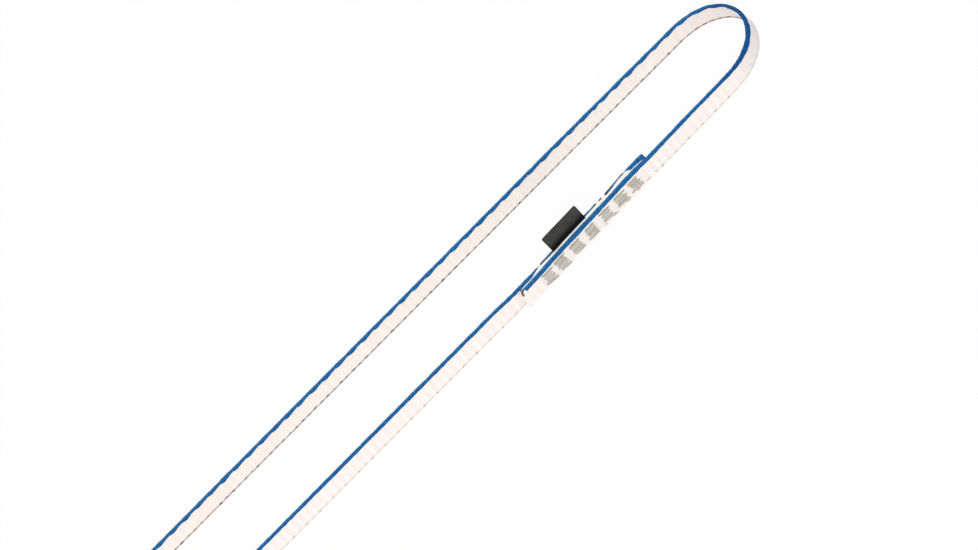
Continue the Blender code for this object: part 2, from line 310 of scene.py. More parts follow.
def puff(along, girth, height):
    """How far the inner ply's outer side swells at the top, until it nearly meets the outer ply."""
    back = in_lap(along)[1] * (along > BACK_LAP)
    swell = read(TOP_GAPS, along - BACK_LAP) - GAP_LEFT
    return back * swell * ease(girth / PUFF_FADE) * near_top(height)


print("pushes at the lap's top edges, mm:",
      [round(float(push(np.array([at]), TAPE_WIDTH)[0]) * 1000, 2) for at in (0.04, 1.30)])

# %% Laying a flat place on the tape
FAR_RUN_AT = 0.45


def lay(along, girth, lift):
    """The point of the frame for places on the tape's skin, lifted off it by a little."""
    along, girth = np.asarray(along, float), np.asarray(girth, float)
    out, height, face_out, face_up = (
        np.interp(np.abs(girth), outline_at, outline[:, column]) for column in range(4))
    height = height + lift * face_up
    out = np.sign(girth) * (out + lift * face_out) + push(along, height) + puff(along, girth, height)
    (x, y), (face_x, face_y) = on_line(along), on_line(along, facing_out)
    return np.column_stack((x + out * face_x, y + out * face_y, height))


print("middle of the far run's top, m:", lay(np.array([FAR_RUN_AT]), np.array([0.0]), 0.0).round(4)[0])

# %% [markdown]
# ## A strip of cloth from a grid
# Webbing keeps its width and bends along one line, so no simulation is needed. A grid primitive is
# the flat cloth: its columns run along the tape and its rows go round it. Every vertex is then moved
# to its place, the first and last rows are merged, and the open ends are filled. The grid also
# brings a UV map, which is rewritten in metres, so that a woven pattern keeps its true size. A
# second map cuts the long tape into eight short lengths, one under the other, as a cutter would lay
# it out on cloth, so that a baked picture of it isn't one thin line.

# %% New grids and their numbers
PATTERN_MAP = "woven"


def everything_off():
    """Nothing stays selected, so that the next operator meets only the new piece."""
    bpy.ops.object.select_all(action="DESELECT")


def new_grid(name, columns, rows):
    """A grid of columns x rows cells, with the column and the row of each vertex."""
    everything_off()
    bpy.ops.mesh.primitive_grid_add(x_subdivisions=columns, y_subdivisions=rows, size=1)
    piece = bpy.context.object
    piece.name = piece.data.name = name
    order = np.arange(len(piece.data.vertices))
    return piece, order % (columns + 1), order // (columns + 1)


def put(values, key, data):
    """Writes numbers to every item of a mesh's data at once."""
    data.foreach_set(key, np.asarray(values, np.float32).ravel())


def corner_vertices(mesh):
    """Which vertex lies at each corner of each face."""
    corner = np.zeros(len(mesh.loops), int)
    mesh.loops.foreach_get("vertex_index", corner)
    return corner


# %% Finishing a piece
def select_mesh():
    """Opens the piece in hand in edit mode, all of it selected."""
    bpy.ops.object.mode_set(mode="EDIT")
    bpy.ops.mesh.select_all(action="SELECT")


def turn_outwards():
    """Turns every face of the piece in hand outwards, and leaves edit mode."""
    select_mesh()
    bpy.ops.mesh.normals_make_consistent(inside=False)
    bpy.ops.object.mode_set(mode="OBJECT")


def settle(piece, slot, *nodes):
    """Rides a finished piece on the sling, in place of CAD nodes; the slot is not used."""
    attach(piece, "sling")
    for node in nodes:
        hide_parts(node)
    show_size(piece)


def show_size(piece):
    """Prints a piece's size and its count of faces."""
    size = [round(value * 1000, 1) for value in piece.dimensions]
    print(piece.name, "size, mm:", size, "faces:", len(piece.data.polygons))


# %% Grid that becomes a tube
LENGTHS_ON_CLOTH = 8
CLOTH_MARGIN = 0.06
CLOTH_SIDE = 0.01
END_SHARE = 0.8
CLOTH_MAP = "OFBake"
SEAM = 1e-7


def grid_tube(name, columns, rows, place, pattern):
    """A grid rolled into a tube: place and pattern give each corner its point and its flat place."""
    piece, column, row = new_grid(name, columns, rows)
    mesh = piece.data
    corner = corner_vertices(mesh)
    put(place(column, row), "co", mesh.vertices)
    mesh.uv_layers[0].name = PATTERN_MAP
    put(pattern(column[corner], row[corner]), "uv", mesh.uv_layers[0].data)
    mesh.uv_layers.new(name=CLOTH_MAP)
    length = (np.repeat(np.arange(len(mesh.polygons)), 4) % columns) * LENGTHS_ON_CLOTH // columns
    first, last = (-(-part * columns // LENGTHS_ON_CLOTH) for part in (length, length + 1))
    across = CLOTH_SIDE + (1 - 2 * CLOTH_SIDE) * (column[corner] - first) / (last - first)
    up = CLOTH_MARGIN + (1 - 2 * CLOTH_MARGIN) * row[corner] / rows
    on_cloth = np.column_stack((across, (length + up) / LENGTHS_ON_CLOTH))
    put(on_cloth, "uv", mesh.uv_layers[CLOTH_MAP].data)
    close_tube(mesh)
    return piece


def close_tube(mesh):
    """Merges the seam, fills the two open ends and gives the ends a small round place on the cloth."""
    select_mesh()
    bpy.ops.mesh.remove_doubles(threshold=SEAM)
    bpy.ops.mesh.fill_holes(sides=0)
    turn_outwards()
    spot = CLOTH_MARGIN / 2 / LENGTHS_ON_CLOTH
    radius = spot * END_SHARE
    for end in (polygon for polygon in mesh.polygons if len(polygon.vertices) > 4):
        for turn, loop in enumerate(end.loop_indices):
            angle = 2 * pi * turn / len(end.vertices)
            place = (0.5 + radius * cos(angle), spot + radius * sin(angle))
            mesh.uv_layers[CLOTH_MAP].data[loop].uv = place


# %% [markdown]
# ## The woven ground
# The cream ground is the body of the tape. In each repeat the weft pulls the faces in twice, once
# strongly and once weakly, which leaves shallow cushions across the tape. Under a bar tack the
# threads press the cloth down. The cut ends are melted, so they are closed and slightly rounded.
# Relief this size belongs in the mesh, because it catches the light along the edge of the tape; only
# the single yarns, which are finer than the mesh, are left to the material.

# %% Tacks along the lap
TACK_MIDDLES = (0.0142, 0.0229, 0.0323, 0.0420, 0.0520, 0.0614, 0.0707)
TACK_FEET = (0.0010, 0.0009, 0.0014, 0.0012, 0.0017, 0.0017, 0.0016)
TACK_WIDTHS = (0.0070, 0.0073, 0.0065, 0.0067, 0.0063, 0.0062, 0.0063)
TACK_LENGTH = 0.0066
TACK_EDGE = 0.0008


def pressed(along, girth):
    """1 under a bar tack and 0 away from it, on the outer ply's outer face and the inner's inner."""
    height = TAPE_WIDTH - EDGE_RADIUS - (np.abs(girth) - FACE_TOP)
    deep = np.zeros_like(along)
    for middle, foot, width in zip(TACK_MIDDLES, TACK_FEET, TACK_WIDTHS):
        across = ease((width / 2 - np.abs(height - foot - width / 2)) / TACK_EDGE + 0.5)
        for place, side in ((FRONT_LAP + middle, 1), (BACK_LAP + middle, -1)):
            reach = ease((TACK_LENGTH / 2 - np.abs(along - place)) / TACK_EDGE + 0.5)
            deep = np.maximum(deep, reach * across * (np.sign(girth) == side))
    return deep


print("bar tacks:", len(TACK_MIDDLES), "and the length of each, mm:", TACK_LENGTH * 1000)

# %% Relief of the ground
GROUND_SINK = 0.00008
WEFT_DIP = 0.00008
TACK_DIP = 0.00014
UNEVEN = 0.00003
FACE_FADE = 0.0008

rng = np.random.default_rng(11)
uneven_counts = np.arange(*ALL_COUNTS)
uneven_swell = rng.normal(0, 1, len(uneven_counts))


def relief(along, girth):
    """How far the ground's skin lies off the plain outline."""
    count = repeats(along)
    from_edge = np.minimum(np.abs(girth), HALF_GIRTH - np.abs(girth))
    on_face = np.clip((from_edge - FACE_FADE) / FACE_FADE, 0, 1)
    dips = np.abs(np.cos(2 * pi * count)) ** 6 + np.abs(np.cos(pi * count)) ** 8
    swell = np.interp(count, uneven_counts, uneven_swell)
    return (UNEVEN * swell - WEFT_DIP * dips) * on_face - GROUND_SINK - TACK_DIP * pressed(along, girth)


print("relief on the far run, mm:",
      (relief(where_repeat(np.linspace(45, 46, 5)), np.full(5, -0.006)) * 1000).round(3))

# %% The ground's skin
COLUMNS_PER_REPEAT = 12
END_STEPS = np.array((0.0, 0.00008, 0.0002, 0.0004))
END_ROUND = 0.0004
FACE_ROWS = 17
EDGE_ROWS = 3


def columns_at(per_repeat, start, end):
    """Distances along the tape: in step with the weave, with close ones at both ends."""
    first, last = np.ceil(repeats(start) * per_repeat), np.floor(repeats(end) * per_repeat)
    inner = where_repeat(np.arange(first, last + 1) / per_repeat)
    clear = 1.5 * END_STEPS[-1]
    inner = inner[(inner > start + clear) & (inner < end - clear)]
    return np.concatenate((start + END_STEPS, inner, end - END_STEPS[::-1]))


def round_off(along, start, end):
    """0 at a cut end, rising as a quarter circle to 1."""
    short = np.clip(np.minimum(along - start, end - along) / END_ROUND, 0, 1)
    return np.sqrt(1 - (1 - short) ** 2)


ground_columns = columns_at(COLUMNS_PER_REPEAT, 0, TAPE_LENGTH)
edge = np.linspace(0, FACE_TOP, EDGE_ROWS + 1)[:-1]
face = np.linspace(FACE_TOP, HALF_GIRTH - FACE_TOP, FACE_ROWS)
half = np.concatenate((edge, face, HALF_GIRTH - edge[::-1]))
ground_girths = np.concatenate((-half[::-1], half[1:]))


def ground_place(column, row):
    """Each corner of the ground, drawn in a little where the tape is cut."""
    along, girth = ground_columns[column], ground_girths[row]
    drawn_in = -END_ROUND * (1 - round_off(along, 0, TAPE_LENGTH))
    return lay(along, girth, relief(along, girth) + drawn_in)


def ground_pattern(column, row):
    """The flat map in metres: repeats along the tape, girth round it."""
    return np.column_stack((in_step(ground_columns[column]), ground_girths[row]))


webbing = grid_tube("webbing", len(ground_columns) - 1, len(ground_girths) - 1, ground_place,
                    ground_pattern)
print("columns along the tape:", len(ground_columns), "rows round it:", len(ground_girths))

# %% Path along the tape's middle, and the tape on the sling
CORD_POINTS = 331
cord_at = np.linspace(0, TAPE_LENGTH, CORD_POINTS)
cord_path = lay(cord_at, np.zeros(CORD_POINTS), 0.0) - np.array((0, 0, TAPE_WIDTH / 2))
settle(webbing, "tape_white", "webbing_ground")
print("declared length, m:", round(TAPE_LENGTH, 3))

# %% [markdown]
# ## The blue edge
# The last few yarns at the upper edge are blue. On the outer face they make an even band, and on
# the inner face they float over the ground in long leaves, so the band's lower line is scalloped.
# They lie a hair proud of the ground. A thin shell that hugs the edge shows that: its two lips
# follow the two lower lines, and it is thick enough to cast the small shadow that yarn casts. Both
# lines waver a little and have fine teeth, where single yarns end. On the covered ply in the lap
# the yarns have spread: the band is a thin line with gaps there, and a wedge at the cut end.

# %% Lips of the blue edge
OUTER_LIP = 0.0101
TIP_LIP = 0.0088
TIP_FROM, TIP_TO = 0.272, 0.292
LAP_LIP = 0.0091
PINCH = 0.0104
BULGE = 0.0096
PINCH_AT = 0.69
BULGE_AT = 0.44
BLUE_START = 0.0036


def scallop(count):
    """0 where the band is narrowest and 1 where the leaf hangs lowest: quick to fall, slow to rise."""
    turn = (count - PINCH_AT) % 1.0
    fall = BULGE_AT + 1 - PINCH_AT
    return ease(np.where(turn < fall, turn / fall, (1 - turn) / (1 - fall)))


print("scallop over one repeat:", scallop(np.linspace(0, 1, 9)).round(2))

# %% Edges of the blue band
THIN_PART = (0.0103, 0.0726)
THIN_GAPS = ((0.01295, 0.0152), (0.0519, 0.0537), (0.0555, 0.0577), (0.0702, 0.0718))
THIN_FADES = (0.006, 0.003)
THIN_GIRTHS = (-0.0014, 0.0001)
COVERED_LIPS = [(0.07, 0.0006), (0.0754, 0.00062), (0.0789, 0.0007), (0.0805, 0.00085),
                (0.0823, 0.0012)]
THIN_WAVE = 0.0003
LAP_WAVE = 0.00028
PLAIN_WAVE = 0.00005
TOOTH = 0.00014

rng = np.random.default_rng(23)
wave_counts = np.arange(*ALL_COUNTS, 0.5)
wave_swell = rng.uniform(-1, 1, len(wave_counts))
tooth_counts = np.arange(*ALL_COUNTS, 0.25)
teeth = rng.uniform(-1, 1, (3, len(tooth_counts)))


def between(place, start, end, fade_in, fade_out):
    """1 between two places and 0 outside them, with soft ends."""
    return ease((place - start) / fade_in + 0.5) * ease((end - place) / fade_out + 0.5)


def band_edges(along):
    """The girths of the band's two lower lines: on the outer face and on the inner face."""
    count, at_back = repeats(along), along - BACK_LAP
    front = in_lap(along)[0]
    swell = np.interp(count, wave_counts, wave_swell)
    wave = swell * (PLAIN_WAVE + (LAP_WAVE - PLAIN_WAVE) * front)
    tip = ease((np.abs(on_line(along)[0]) - TIP_FROM) / (TIP_TO - TIP_FROM))
    tooth = [TOOTH * np.interp(count, tooth_counts, values) for values in teeth[:2]]
    outer = girth_at(OUTER_LIP + (LAP_LIP - OUTER_LIP) * front + (TIP_LIP - OUTER_LIP) * tip
                     + wave + tooth[0])
    inner = -girth_at(PINCH + (BULGE - PINCH) * scallop(count) + wave + tooth[1])
    outer += (read(COVERED_LIPS, at_back) - outer) * ease((at_back + PAST_LAP / 4) / (PAST_LAP / 2))
    thin = between(at_back, *THIN_PART, *THIN_FADES)
    thin_outer = THIN_GIRTHS[1] + THIN_WAVE * swell
    return outer + (thin_outer - outer) * thin, inner + (THIN_GIRTHS[0] - inner) * thin


edge_pair = band_edges(np.array([FAR_RUN_AT]))
print("band on the far run, from the top's middle, mm:", [(e * 1000).round(2) for e in edge_pair])

# %% Section of the blue edge
# on top from the inner lip to the outer one, and back underneath
SECTION_SHARES = np.array((0, 0.03, 0.1, 0.22, 0.36, 0.5, 0.64, 0.78, 0.9, 0.97, 1, 0.95, 0.75,
                           0.5, 0.25, 0.05, 0))
SECTION_LIFTS = np.array((-0.14, -0.02, 0.04, 0.05, 0.05, 0.05, 0.05, 0.05, 0.04, -0.02, -0.14,
                          -0.24, -0.26, -0.26, -0.26, -0.24, -0.14)) / 1000
YARN_RIDGE = 0.00003
YARN_SWING = 2.5
YARN_SLANT = 2200
SWING_STRIDE = 1.7
SWING_WRAP = 150
EDGE_WAVE = 0.00005
BLUE_COLUMNS = 16
BLUE_END_ROUND = 0.00025
GAP_SINK = 0.0003
GAP_FADE = 0.0007

blue_columns = columns_at(BLUE_COLUMNS, BLUE_START, TAPE_LENGTH)


def blue_girths(column, row):
    """The girth of each corner of the blue shell."""
    outer, inner = band_edges(blue_columns)
    return inner[column] + (outer - inner)[column] * SECTION_SHARES[row]


def blue_place(column, row):
    """Each corner of the blue shell: it follows the ground and is ridged by its yarns."""
    along, girth = blue_columns[column], blue_girths(column, row)
    count = repeats(along)
    swell = np.interp(count * SWING_STRIDE % SWING_WRAP, wave_counts, wave_swell)
    ridge = YARN_RIDGE * np.sin(8 * pi * count + YARN_SWING * swell + YARN_SLANT * girth)
    tooth = TOOTH / 2 * (1 + np.interp(count, tooth_counts, teeth[2]))
    proud = (ridge + EDGE_WAVE * (1 + swell) + tooth) * (SECTION_LIFTS[row] > 0)
    sunk = sum(between(along - BACK_LAP, *gap, GAP_FADE, GAP_FADE) for gap in THIN_GAPS)
    follow = relief(along, girth) + GROUND_SINK
    drawn_in = -BLUE_END_ROUND * (1 - round_off(along, BLUE_START, TAPE_LENGTH))
    return lay(along, girth, SECTION_LIFTS[row] + proud + follow + drawn_in - GAP_SINK * sunk)


def blue_pattern(column, row):
    """The flat map of the blue shell, the same as the ground's."""
    return np.column_stack((in_step(blue_columns[column]), blue_girths(column, row)))


blue_edge = grid_tube("blue_edge", len(blue_columns) - 1, len(SECTION_SHARES) - 1, blue_place,
                      blue_pattern)
settle(blue_edge, "edge_blue", "blue_edge_yarns")

# %% [markdown]
# ## The foot thread
# A ribbon loom puts the weft in as loops from one side and locks them at the other edge with a thin
# dark thread. Here it runs along the foot of the inner face as a fine line with a knot twice in
# each repeat, one strong and one weak. Along one stretch the strong and the weak ones have changed
# places, and one strong knot comes half a repeat late. A fainter line with smaller knots shows at the
# foot of the outer face. The line is a thread laid on the skin: a round tube in the flat map, so it
# needs a path, a width and a thickness, and all three may change along it.

# %% A thread on the skin
ROUND_ON_MAP = 0.001


def thread_on_skin(name, path_along, path_girth, width, thickness, lift, rows=8):
    """A tube along a path in the flat map; width, thickness and lift are given at each point."""
    step = np.column_stack((np.gradient(path_along), np.gradient(path_girth)))
    step /= np.linalg.norm(step, axis=1)[:, None]
    angles = np.linspace(0, 2 * pi, rows + 1)
    passed = reached(np.column_stack((path_along, path_girth)))

    def place(column, row):
        sideways = np.cos(angles[row]) * width[column] / 2
        up = np.sin(angles[row]) * thickness[column] / 2
        along = path_along[column] - step[column, 1] * sideways
        girth = path_girth[column] + step[column, 0] * sideways
        return lay(along, girth, lift[column] + up)

    return grid_tube(name, len(path_along) - 1, rows, place, lambda column, row: np.column_stack(
        (passed[column], angles[row] / (2 * pi) * ROUND_ON_MAP)))


def give_shade(piece, shade):
    """Keeps one number at every vertex of a piece, for its material to read."""
    shades = piece.data.attributes.new("shade", "FLOAT", "POINT")
    put(np.full(len(piece.data.vertices), shade), "value", shades.data)


# %% Knots of the foot thread
FOOT_HEIGHT = 0.00103
FOOT_COLUMNS = 20
FOOT_INSET = 0.0002
LINE_WIDTH = 0.00026
LINE_THICKNESS = 0.00024
KNOT_WIDTH = 0.00078
KNOT_THICKNESS = 0.0006
KNOT_HALF = 0.13
WEAK_KNOT = 0.6
KNOT_SPREAD = (0.7, 1.15)
KNOT_STRAY = 0.04
LATE_KNOT = 30.5
CHANGED_PLACES = (54.6, 100.0)
FAINT_LINE = 0.00028
FAINT_HEIGHT = 0.001
FAINT_SHADE = 2.0

rng = np.random.default_rng(37)
knot_counts = np.arange(*ALL_COUNTS, 0.5)
changed = (knot_counts > CHANGED_PLACES[0]) & (knot_counts < CHANGED_PLACES[1])
knot_is_strong = np.where(changed, knot_counts % 1 == 0.5, knot_counts % 1 == 0)
knot_sizes = rng.uniform(*KNOT_SPREAD, len(knot_counts)) * np.where(knot_is_strong, 1, WEAK_KNOT)
knot_shifts = rng.uniform(-KNOT_STRAY, KNOT_STRAY, len(knot_counts))
knot_sizes[knot_counts == LATE_KNOT] = 1.0
knot_sizes[knot_counts == LATE_KNOT - 0.5] = 0.0


def knot_share(count):
    """0 on the thin line, rising to 1 in the middle of a strong knot."""
    nearest = np.clip(np.round((count - knot_counts[0]) * 2).astype(int), 0, len(knot_counts) - 1)
    off = (count - knot_counts[nearest] - knot_shifts[nearest]) / KNOT_HALF
    return knot_sizes[nearest] * np.sqrt(np.clip(1 - off * off, 0, 1))


print("largest knot's share:", round(float(knot_sizes.max()), 3))

# %% Laying the foot thread
foot_at = columns_at(FOOT_COLUMNS, FOOT_INSET, TAPE_LENGTH - FOOT_INSET)
knots = knot_share(repeats(foot_at))
foot_girth = np.full_like(foot_at, -girth_at(FOOT_HEIGHT))
foot_width = LINE_WIDTH + (KNOT_WIDTH - LINE_WIDTH) * knots
foot_thickness = LINE_THICKNESS + (KNOT_THICKNESS - LINE_THICKNESS) * knots
foot_line = thread_on_skin("foot_thread", foot_at, foot_girth, foot_width, foot_thickness,
                           relief(foot_at, foot_girth) + LINE_THICKNESS / 2)
faint = FAINT_LINE * (0.4 + 0.6 * np.abs(np.cos(2 * pi * repeats(foot_at))))
sunk_in_lap = np.where(foot_at < FRONT_LAP + LAP_LENGTH, FAINT_LINE, 0)
faint_line = thread_on_skin("faint_line", foot_at, np.full_like(foot_at, girth_at(FAINT_HEIGHT)),
                            faint, faint, relief(foot_at, -foot_girth) + faint / 3 - sunk_in_lap)
give_shade(faint_line, FAINT_SHADE)
show_size(foot_line)

# %% [markdown]
# ## What repeats is modelled once
# The knots on the outer face and the stitches of the bar tacks are small things that come back many
# times. Each is modelled once on the bench, flat: its length lies along X, its breadth along Y, and
# it stands up along Z. A copy then gets its own mesh, is turned and stretched a little, and is laid
# on a face of the tape. A sphere from the primitives, squeezed, makes the knot.

# %% Copies on a face
def squeezed_sphere(size, segments, rings):
    """A sphere on the bench, pressed to a length, a breadth and a height."""
    everything_off()
    bpy.ops.mesh.primitive_uv_sphere_add(segments=segments, ring_count=rings, radius=0.5)
    model = bpy.context.object
    model.data.transform(Matrix.Diagonal((*size, 1)))
    return model


def flat_points(model):
    """The vertices of a model on the bench."""
    points = np.zeros(len(model.data.vertices) * 3)
    model.data.vertices.foreach_get("co", points)
    return points.reshape(-1, 3)


def lay_copy(model, along, height, side, turn=0.0, stretch=1.0, shade=1.0):
    """A copy of a flat model on the outer face (side 1) or the inner face (side -1)."""
    copy = model.copy()
    copy.data = model.data.copy()
    bpy.context.scene.collection.objects.link(copy)
    points = flat_points(model)
    x = stretch * points[:, 0] * cos(turn) - points[:, 1] * sin(turn)
    y = stretch * points[:, 0] * sin(turn) + points[:, 1] * cos(turn)
    at, girth = along + x, side * girth_at(height + y)
    put(lay(at, girth, points[:, 2] + relief(at, girth)), "co", copy.data.vertices)
    give_shade(copy, shade)
    return copy


# %% Joining copies
def joined(name, parts):
    """One piece from many, with every face turned outwards."""
    everything_off()
    for part in parts:
        part.select_set(True)
    bpy.context.view_layer.objects.active = parts[0]
    bpy.ops.object.join()
    piece = bpy.context.object
    piece.name = piece.data.name = name
    turn_outwards()
    return piece


def off_the_bench(model):
    """A model that has been copied often enough is taken away."""
    bpy.data.meshes.remove(model.data)


# %% Knots on the outer face
OUTER_KNOT = (0.0014, 0.00058, 0.0005)
OUTER_KNOT_HEIGHT = 0.0009
LAP_KNOTS = ((0.0505, 1.0), (0.0570, 2.6), (0.0652, 1.8), (0.0718, 1.6), (0.0780, 2.6), (0.0831, 1.4))
LAP_KNOT_RISE = 0.0003
LAP_KNOT_SHADE = 1.8
KNOTS_FROM, KNOTS_TO = FRONT_LAP + LAP_LENGTH + 0.002, TAPE_LENGTH - 0.004

knot_model = squeezed_sphere(OUTER_KNOT, segments=8, rings=6)
outer_knots = []
for count, size, strong in zip(knot_counts, knot_sizes, knot_is_strong):
    at = float(where_repeat(count))
    if size > 0 and KNOTS_FROM < at < KNOTS_TO:
        dark = strong and abs(float(on_line(at)[0])) <= TIP_FROM
        outer_knots.append(lay_copy(knot_model, at, OUTER_KNOT_HEIGHT, 1, stretch=size,
                                    shade=1.0 if dark else FAINT_SHADE))
for at, stretch in LAP_KNOTS:
    outer_knots.append(lay_copy(knot_model, at, OUTER_KNOT_HEIGHT + LAP_KNOT_RISE, 1, stretch=stretch,
                                shade=LAP_KNOT_SHADE))
off_the_bench(knot_model)
foot_thread = joined("foot_thread", [foot_line, faint_line, *outer_knots])
settle(foot_thread, "catch_grey", "lower_edge_catch_thread")
print("knots on the outer face:", len(outer_knots))

# %% [markdown]
# ## The melted cut ends
# Webbing is cut with a hot blade, so its yarns melt together and don't fray. At the outer end the
# blue yarns have curled down over the corner of the cut as one dark hard bead, beside a drop of
# clear melt; at the inner end they curl down as well. A bead is a short thick thread with tapered
# ends, and the drop is a squeezed sphere that sits half in the cloth.

# %% Beads and drop
BEAD_STEPS = np.linspace(0, 1, 25)
BEAD_SMOOTH = 5
DROP = (0.0019, 0.0015, 0.0010)
DROP_AT, DROP_HEIGHT, DROP_TURN = 0.0030, 0.0100, 0.15


def bead(name, points, width, thickness):
    """A short bead through places (distance along, girth) in the flat map, thin at both ends."""
    path = []
    for axis in (0, 1):
        values = np.interp(BEAD_STEPS, np.linspace(0, 1, len(points)), [point[axis] for point in points])
        padded = np.pad(values, BEAD_SMOOTH // 2, mode="edge")
        path.append(np.convolve(padded, np.ones(BEAD_SMOOTH) / BEAD_SMOOTH, mode="valid"))
    swell = np.sqrt(np.clip(1 - (2 * BEAD_STEPS - 1) ** 4, 0.02, 1))
    return thread_on_skin(name, *path, width * swell, thickness * swell, np.zeros(len(swell)), rows=10)


front_bead = bead("front_melted_edge", [
    (0.0046, -0.0004), (0.0036, -0.0006), (0.0027, -0.0005), (0.0019, 0.0), (0.0014, 0.0009),
    (0.0013, 0.0019), (0.0013, 0.0027), (0.0015, 0.0035)], width=0.0010, thickness=0.0008)
back_bead = bead("back_melted_edge", [
    (TAPE_LENGTH - 0.0016, 0.0002), (TAPE_LENGTH - 0.0008, 0.0008), (TAPE_LENGTH - 0.00045, 0.0018),
    (TAPE_LENGTH - 0.0004, 0.0028), (TAPE_LENGTH - 0.0006, 0.0036)], width=0.0008, thickness=0.0005)
drop_model = squeezed_sphere(DROP, segments=20, rings=12)
laid_drop = lay_copy(drop_model, DROP_AT, DROP_HEIGHT, 1, DROP_TURN)
clear_drop = joined("front_clear_melt", [laid_drop])
off_the_bench(drop_model)
settle(front_bead, "edge_blue")
settle(back_bead, "edge_blue")
settle(clear_drop, "tape_white")

# %% [markdown]
# ## The bar tacks
# A bar tack is a short zigzag of lockstitch. The needle thread lies on the outer face in rows along
# the tape, each a little askew to the last, and dives into the cloth at both ends; the bobbin
# thread makes the same rows on the inner face. A row is modelled once as a flat thread with bent
# ends. The rows at the bottom and the top are mostly longer than those between. No two rows of a
# real tack are alike, so the copies differ in length and slope, by a seeded draw. Each row also
# gets a painted shade from the draw, darkest at the bottom and the top, which stands in for the
# shadows between the rows.

# %% One row of thread
ROW_STEPS = 10
ROW_SIDES = 8
ROW_WIDTH = 0.00098
ROW_THICKNESS = 0.00036
ROW_DIVE = 0.00042
DIVE_FROM = 0.78
TIP_SHARE = 0.55
ROW_RAISE = 0.32
ROW_CROWDING = 0.7
THREAD_ROUND = 0.0015

angles = np.linspace(0, 2 * pi, ROW_SIDES + 1)
way = np.linspace(-1, 1, ROW_STEPS + 1)
way = np.sign(way) * np.abs(way) ** ROW_CROWDING


def row_place(column, row):
    """Each corner of a thread that lies along X, flat, and dives at both ends."""
    share = np.abs(way[column])
    breadth = np.where(share > 0.99, TIP_SHARE, 1.0) * ROW_WIDTH / 2
    dive = ROW_DIVE * np.clip((share - DIVE_FROM) / (1 - DIVE_FROM), 0, 1) ** 1.5
    up = ROW_THICKNESS * ROW_RAISE - dive + ROW_THICKNESS / 2 * np.sin(angles[row])
    return np.column_stack((way[column] * TACK_LENGTH / 2, breadth * np.cos(angles[row]), up))


def row_pattern(column, row):
    """Metres along the thread and round it."""
    return np.column_stack((way[column] * TACK_LENGTH / 2, angles[row] / (2 * pi) * THREAD_ROUND))


stitch_row = grid_tube("row", ROW_STEPS, ROW_SIDES, row_place, row_pattern)
show_size(stitch_row)

# %% Fourteen threads, needle side and bobbin side
ROWS = 9
ROW_SLOPE = 0.06
ROW_ASKEW = 0.035
ROW_SHIFT = 0.00035
ROW_STRETCHES = {0: (0.95, 1.2), ROWS - 1: (0.85, 1.15)}
ROW_PAINTED_SHADES = {0: (0.3, 0.65), ROWS - 1: (0.15, 0.5)}
OTHER_STRETCHES = (0.62, 1.08)
OTHER_PAINTED_SHADES = (0.25, 0.95)

rng = np.random.default_rng(41)


def bar_tack(name, middle, foot, width, side):
    """The rows of one tack on one face, from its bottom to its top."""
    pitch = (width - ROW_WIDTH) / (ROWS - 1)
    threads = []
    for row in range(ROWS):
        height = foot + ROW_WIDTH / 2 + pitch * row
        turn = ROW_SLOPE * (1 if row % 2 else -1) + rng.normal(0, ROW_ASKEW)
        stretch = rng.uniform(*ROW_STRETCHES.get(row, OTHER_STRETCHES))
        # painted shade: each row is painted lighter or darker, the bottom and top rows darkest
        shade = rng.uniform(*ROW_PAINTED_SHADES.get(row, OTHER_PAINTED_SHADES))
        at = middle + rng.normal(0, ROW_SHIFT)
        threads.append(lay_copy(stitch_row, at, height, side, turn, stretch, shade))
    return joined(name, threads)


tack_threads = []
for number, (middle, foot, width) in enumerate(zip(TACK_MIDDLES, TACK_FEET, TACK_WIDTHS), 1):
    for thread, at, side in (("needle", FRONT_LAP + middle, 1), ("bobbin", BACK_LAP + middle, -1)):
        piece = bar_tack(f"bar_tack_{number}_{thread}_rows", at, foot, width, side)
        settle(piece, "thread_grey", f"bar_tack_{number}_{thread}_thread")
        tack_threads.append(piece)
off_the_bench(stitch_row)

# %% [markdown]
# ## The label
# The label is a woven ribbon folded in half, black where it shows and white below: the fold stands
# up and the two ends are sewn in between the plies. A grid shaped over the fold and given its
# thickness by the Solidify modifier keeps both leaves even. Where the flap leaves the plies, it moves
# with them less and less towards the fold. Its sewn-in tail is a piece of its own, stays with the
# plies, and is thick enough to fill the groove between them.

# %% Line of the fold
LABEL_FROM, LABEL_TO = 0.0232, 0.0442
LABEL_LENGTH = LABEL_TO - LABEL_FROM
LABEL_FOOT = 0.0085
LABEL_TOP = 0.0207
LABEL_LEAN = 0.0018
LABEL_WAVE = 0.00006
LEAF = 0.00022
LEAF_APART = 0.00018
CORNER = 0.0009
CLOSER_AT_SIDES = 0.12
LABEL_COLUMNS, LABEL_ROWS = 56, 64


def folded():
    """Half-way line of the folded ribbon: its place across and its height, for each row."""
    radius = (LEAF + LEAF_APART) / 2
    straight = LABEL_TOP - radius - LABEL_FOOT
    ribbon = np.linspace(0, 2 * straight + pi * radius, LABEL_ROWS + 1)
    turn = np.clip((ribbon - straight) / radius, 0, pi)
    up = np.where(ribbon <= straight, ribbon, straight)
    up = np.where(ribbon > straight + pi * radius, 2 * straight + pi * radius - ribbon, up)
    return -radius * np.cos(turn), LABEL_FOOT + up + radius * np.sin(turn)


print("top of the fold, mm:", round(folded()[1].max() * 1000, 2))

# %% Moving the label with the plies
def above_tape(height):
    """0 at the tape's upper edge and 1 at the fold."""
    return (height - TAPE_WIDTH) / (LABEL_TOP - TAPE_WIDTH)


def with_the_plies(points):
    """Points of the lap, moved as the plies are; what stands above the tape moves less and less."""
    x, y, height = points.T
    low = np.minimum(height, TAPE_WIDTH)
    moved = (sway(x, y) + lean(x, y, low)) * (1 - ease(above_tape(height))) - flare(y, low)
    return np.column_stack((x, y + moved, height))


print("share of the flap's height at 16 mm:", round(above_tape(0.016), 2))

